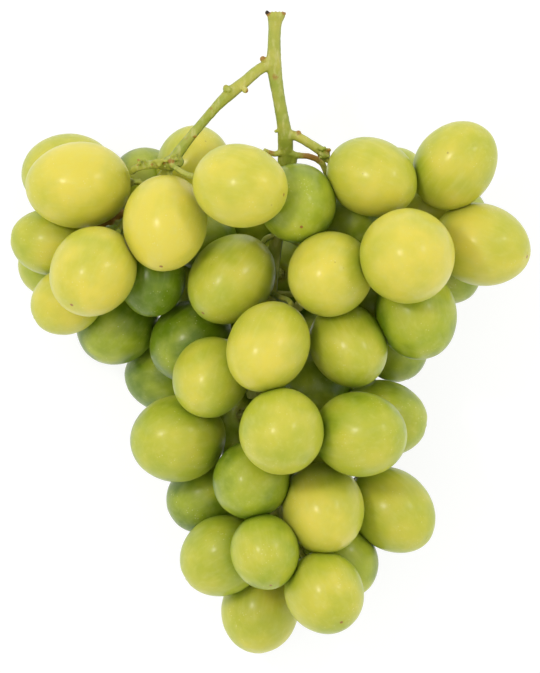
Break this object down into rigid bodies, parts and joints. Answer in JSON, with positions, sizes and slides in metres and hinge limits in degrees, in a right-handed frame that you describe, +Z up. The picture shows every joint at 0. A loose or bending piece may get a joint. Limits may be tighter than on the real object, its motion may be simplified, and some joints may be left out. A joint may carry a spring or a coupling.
{
  "type": "bunch of grapes",
  "caption": "Bunch of pale green oval table grapes on a cut green stem, lying on its back with the two shoulders spread and the tip tapering away.",
  "frame": {"origin": "middle of the outline at table level, straight below the middle of the bunch's own box", "axes": "+Y runs from the tip of the bunch to the cut end of its stem, +X is the right-hand shoulder seen from above, +Z is up from the table"},
  "size_m": [0.1568, 0.1928, 0.0836],
  "materials": {
    "golden_green_skin": "waxy satin grape skin, golden yellow-green",
    "shaded_green_skin": "waxy satin grape skin, fresh green",
    "yellow_green_skin": "waxy satin grape skin, yellow-green",
    "green_stem": "matte green living stem with pale streaks and brown scars"
  },
  "bodies": {
    "root": {"left_berries": "golden_green_skin", "upper_berries": "shaded_green_skin", "right_berries": "golden_green_skin", "middle_berries": "yellow_green_skin", "lower_berries": "yellow_green_skin", "stem": "green_stem"}
  },
  "joints": []
}
